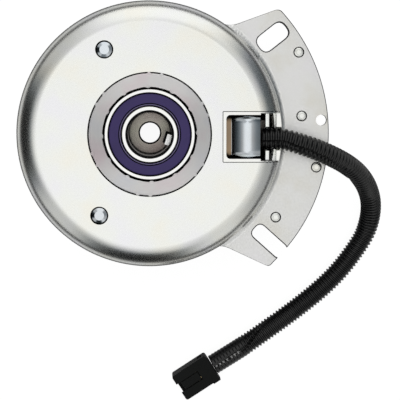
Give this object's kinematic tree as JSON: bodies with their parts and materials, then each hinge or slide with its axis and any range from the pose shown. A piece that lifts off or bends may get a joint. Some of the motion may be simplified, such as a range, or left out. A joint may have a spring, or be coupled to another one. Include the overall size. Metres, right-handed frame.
{
  "type": "electromagnetic clutch",
  "caption": "Round electromagnetic clutch: pressed field cup with a fixing flange, keyed bore through two bearings, belt pulley, and a coil lead in corrugated conduit ending in a plug.",
  "frame": {"origin": "on the shaft axis, in the plane of the pulley's lower rim, which the clutch stands on", "axes": "+Z along the shaft towards the engine; +X through the middle of the window that the lead leaves by"},
  "size_m": [0.2175, 0.2408, 0.068],
  "materials": {
    "zinc_plate": "bright zinc-plated pressed steel, fine grain",
    "turned_steel": "turned face, fine rings",
    "bearing_steel": "ground and polished",
    "bright_steel": "bright plated",
    "machined_iron": "machined, lightly oiled",
    "pulley_steel": "machined steel",
    "spring_steel": "tempered blue-grey",
    "seal_rubber": "moulded nitrile, dark violet blue",
    "bobbin_plastic": "glass-filled nylon",
    "copper_wire": "enamelled copper",
    "lead_insulation": "black wire insulation",
    "brake_lining": "moulded friction lining",
    "loom_plastic": "black corrugated polypropylene",
    "plug_plastic": "black moulded nylon",
    "terminal_brass": "tinned brass"
  },
  "bodies": {
    "field": {"field_shell": "zinc_plate", "field_hub_ring": "turned_steel", "field_bearing_outer": "bearing_steel", "field_bearing_seal_top": "seal_rubber", "field_bearing_seal_bottom": "seal_rubber", "coil_bobbin": "bobbin_plastic", "coil_winding": "copper_wire", "coil_rivet_1": "bright_steel", "coil_rivet_2": "bright_steel", "lead_cover": "bright_steel", "lead_retainer": "zinc_plate", "coil_lead_1": "lead_insulation", "coil_lead_2": "lead_insulation", "flange_rivet_1": "zinc_plate", "flange_rivet_2": "zinc_plate", "flange_rivet_3": "zinc_plate", "flange_rivet_4": "zinc_plate", "brake_bracket": "zinc_plate", "brake_lining": "brake_lining", "loom": "loom_plastic", "connector_housing": "plug_plastic", "connector_lock": "plug_plastic", "terminal_1": "terminal_brass", "terminal_2": "terminal_brass"},
    "rotor": {"rotor_hub": "machined_iron", "rotor_disc": "machined_iron", "field_bearing_inner": "bearing_steel", "bearing_spacer": "machined_iron", "pulley_bearing_inner": "bearing_steel", "end_washer": "machined_iron"},
    "field_cage": {"field_bearing_cage": "spring_steel", "field_ball_1": "bearing_steel", "field_ball_2": "bearing_steel", "field_ball_3": "bearing_steel", "field_ball_4": "bearing_steel", "field_ball_5": "bearing_steel", "field_ball_6": "bearing_steel", "field_ball_7": "bearing_steel", "field_ball_8": "bearing_steel", "field_ball_9": "bearing_steel"},
    "pulley": {"pulley_lower_half": "pulley_steel", "pulley_upper_half": "pulley_steel", "pulley_bearing_outer": "bearing_steel", "pulley_bearing_seal_top": "seal_rubber", "pulley_bearing_seal_bottom": "seal_rubber", "snap_ring": "spring_steel", "leaf_spring_1": "spring_steel", "leaf_spring_2": "spring_steel", "leaf_spring_3": "spring_steel", "pulley_rivet_1": "bright_steel", "pulley_rivet_2": "bright_steel", "pulley_rivet_3": "bright_steel"},
    "pulley_cage": {"pulley_bearing_cage": "spring_steel"},
    "armature": {"armature_plate": "machined_iron", "armature_rivet_1": "bright_steel", "armature_rivet_2": "bright_steel", "armature_rivet_3": "bright_steel"}
  },
  "joints": [
    {"name": "rotor_spin", "type": "hinge", "parent": "field", "child": "rotor", "pos_m": [0, 0, 0.0375], "axis": [0, 0, 1], "continuous": true},
    {"name": "field_cage_spin", "type": "hinge", "parent": "field", "child": "field_cage", "pos_m": [0, 0, 0.06], "axis": [0, 0, 1], "continuous": true},
    {"name": "pulley_spin", "type": "hinge", "parent": "rotor", "child": "pulley", "pos_m": [0, 0, 0.0137], "axis": [0, 0, 1], "continuous": true},
    {"name": "pulley_cage_spin", "type": "hinge", "parent": "rotor", "child": "pulley_cage", "pos_m": [0, 0, 0.0137], "axis": [0, 0, 1], "continuous": true},
    {"name": "armature_pull", "type": "slide", "parent": "pulley", "child": "armature", "axis": [0, 0, 1], "range_m": [0, 0.0004], "stiffness_N_per_m": 20000, "springref_m": -0.0004}
  ],
  "couplings": [
    {"joint": "field_cage_spin", "follows": "rotor_spin", "ratio": 0.4036},
    {"joint": "pulley_cage_spin", "follows": "pulley_spin", "ratio": 0.5964}
  ]
}
